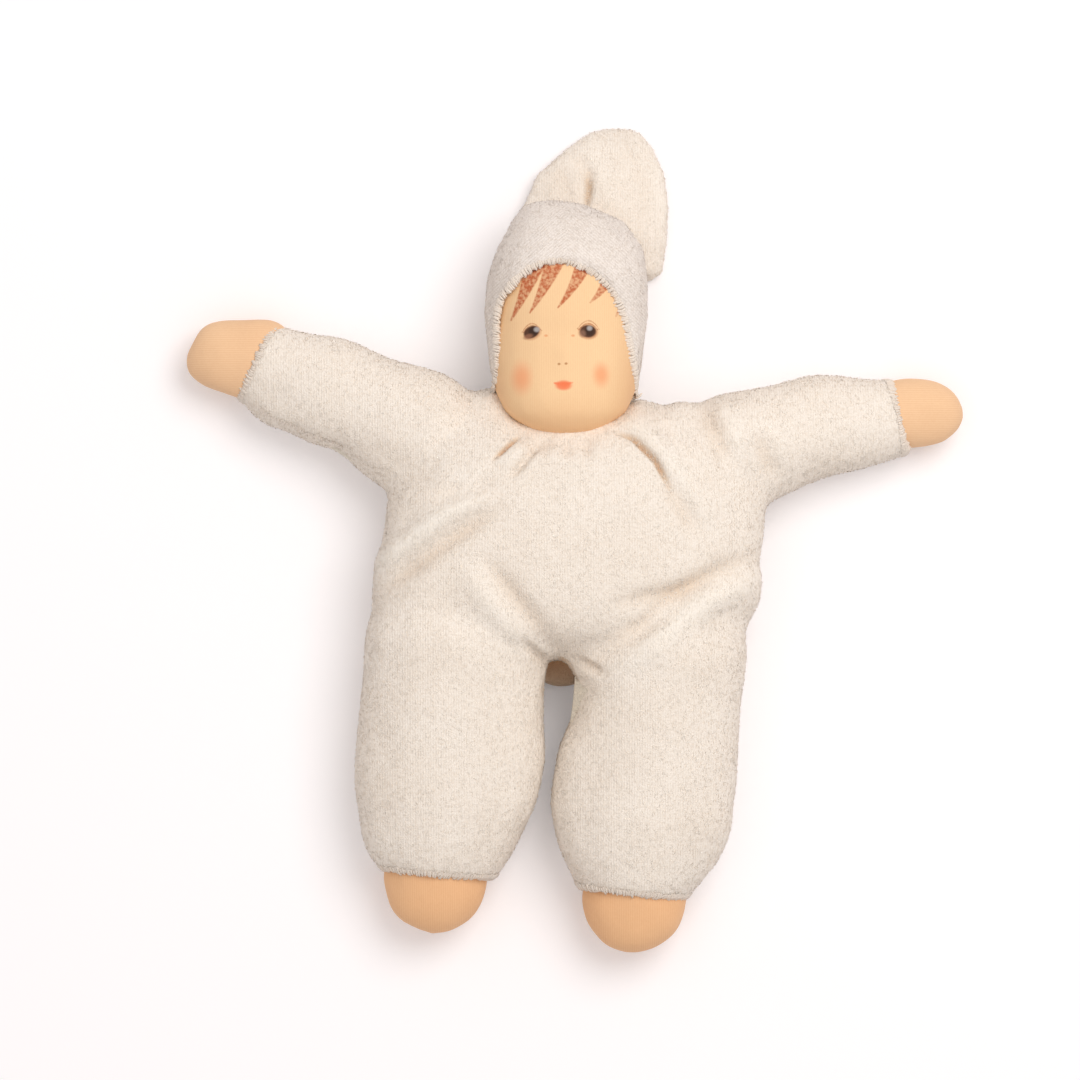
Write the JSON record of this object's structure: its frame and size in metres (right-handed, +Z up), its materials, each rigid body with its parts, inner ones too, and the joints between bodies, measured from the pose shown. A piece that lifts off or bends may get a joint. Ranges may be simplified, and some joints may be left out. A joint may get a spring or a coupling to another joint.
{
  "type": "waldorf doll",
  "caption": "Soft baby doll lying on its back: terry suit with pointed hood, jersey head, hands and feet; head, cap tip, arms, legs, hands and feet bend.",
  "frame": {"origin": "middle of the ground under the lying doll", "axes": "+Z is up, the way the face looks; +Y runs from the feet to the cap's tip; +X is the doll's left side"},
  "size_m": [0.2814, 0.2998, 0.0562],
  "materials": {
    "terry": "cream cotton terry knit, matt",
    "cap_terry": "the same terry knit, stretched over the head",
    "jersey": "skin-coloured fine cotton jersey",
    "wool": "loose and wound sheep's wool",
    "thread": "cotton sewing and overlock thread"
  },
  "bodies": {
    "torso": {"romper_front": "terry", "romper_back": "terry", "torso_stuffing": "wool", "neckline_cloth": "terry"},
    "neck": {"neck_core": "wool"},
    "neck_knot": {"neck_tie": "thread"},
    "head": {"head_core": "wool", "head_skin": "jersey", "cap_hood": "cap_terry", "cap_hood_edge": "thread", "cap_fold": "terry"},
    "cap_tip": {"cap_tail": "terry"},
    "shoulder_right": {"shoulder_cloth_right": "terry"},
    "arm_right": {"sleeve_right": "terry", "sleeve_edge_right": "thread", "arm_stuffing_right": "wool"},
    "hand_right": {"hand_skin_right": "jersey", "hand_stuffing_right": "wool"},
    "shoulder_left": {"shoulder_cloth_left": "terry"},
    "arm_left": {"sleeve_left": "terry", "sleeve_edge_left": "thread", "arm_stuffing_left": "wool"},
    "hand_left": {"hand_skin_left": "jersey", "hand_stuffing_left": "wool"},
    "hip_right": {"hip_cloth_right": "terry"},
    "leg_right": {"trouser_leg_right": "terry", "trouser_edge_right": "thread", "leg_stuffing_right": "wool"},
    "foot_right": {"foot_skin_right": "jersey", "foot_stuffing_right": "wool"},
    "hip_left": {"hip_cloth_left": "terry"},
    "leg_left": {"trouser_leg_left": "terry", "trouser_edge_left": "thread", "leg_stuffing_left": "wool"},
    "foot_left": {"foot_skin_left": "jersey", "foot_stuffing_left": "wool"}
  },
  "joints": [
    {"name": "head_turn", "type": "hinge", "parent": "torso", "child": "neck", "pos_m": [-0.0029, 0.04016, 0.021], "axis": [0, 1, 0], "range_deg": [-30, 30], "deforming": ["neckline_cloth"]},
    {"name": "head_tilt", "type": "hinge", "parent": "neck", "child": "neck_knot", "pos_m": [-0.0029, 0.04016, 0.021], "axis": [0, 0, 1], "range_deg": [-10, 10]},
    {"name": "head_nod", "type": "hinge", "parent": "neck_knot", "child": "head", "pos_m": [-0.0029, 0.04016, 0.021], "axis": [1, 0, 0], "range_deg": [-8, 20]},
    {"name": "cap_tail_fold", "type": "hinge", "parent": "head", "child": "cap_tip", "pos_m": [0.0075, 0.12016, 0.00675], "axis": [1, 0, 0], "range_deg": [0, 60], "deforming": ["cap_fold"]},
    {"name": "arm_swing_right", "type": "hinge", "parent": "torso", "child": "shoulder_right", "pos_m": [-0.0524, 0.03556, 0.0215], "axis": [0, 0, 1], "range_deg": [-50, 40]},
    {"name": "arm_fold_right", "type": "hinge", "parent": "shoulder_right", "child": "arm_right", "pos_m": [-0.0524, 0.03556, 0.0215], "axis": [0.4258, 0.9048, 0], "range_deg": [-15, 75], "deforming": ["shoulder_cloth_right"]},
    {"name": "wrist_bend_right", "type": "hinge", "parent": "arm_right", "child": "hand_right", "pos_m": [-0.11383, 0.06447, 0.0141], "axis": [0.4258, 0.9048, 0], "range_deg": [-20, 25]},
    {"name": "arm_swing_left", "type": "hinge", "parent": "torso", "child": "shoulder_left", "pos_m": [0.056, 0.03116, 0.0215], "axis": [0, 0, 1], "range_deg": [-40, 50]},
    {"name": "arm_fold_left", "type": "hinge", "parent": "shoulder_left", "child": "arm_left", "pos_m": [0.056, 0.03116, 0.0215], "axis": [0.2181, -0.9759, 0], "range_deg": [-15, 75], "deforming": ["shoulder_cloth_left"]},
    {"name": "wrist_bend_left", "type": "hinge", "parent": "arm_left", "child": "hand_left", "pos_m": [0.11573, 0.04451, 0.0139], "axis": [0.2181, -0.9759, 0], "range_deg": [-20, 25]},
    {"name": "leg_spread_right", "type": "hinge", "parent": "torso", "child": "hip_right", "pos_m": [-0.0434, -0.03674, 0.0265], "axis": [0, 0, 1], "range_deg": [-20, 0]},
    {"name": "leg_fold_right", "type": "hinge", "parent": "hip_right", "child": "leg_right", "pos_m": [-0.0434, -0.03674, 0.0265], "axis": [-0.9966, 0.0819, 0], "range_deg": [-10, 80], "deforming": ["hip_cloth_right"]},
    {"name": "ankle_bend_right", "type": "hinge", "parent": "leg_right", "child": "foot_right", "pos_m": [-0.05012, -0.11856, 0.018], "axis": [-0.9966, 0.0819, 0], "range_deg": [-15, 20]},
    {"name": "leg_spread_left", "type": "hinge", "parent": "torso", "child": "hip_left", "pos_m": [0.0307, -0.04034, 0.0265], "axis": [0, 0, 1], "range_deg": [0, 20]},
    {"name": "leg_fold_left", "type": "hinge", "parent": "hip_left", "child": "leg_left", "pos_m": [0.0307, -0.04034, 0.0265], "axis": [-0.9945, 0.1045, 0], "range_deg": [-10, 80], "deforming": ["hip_cloth_left"]},
    {"name": "ankle_bend_left", "type": "hinge", "parent": "leg_left", "child": "foot_left", "pos_m": [0.02175, -0.12557, 0.018], "axis": [-0.9945, 0.1045, 0], "range_deg": [-15, 20]}
  ]
}
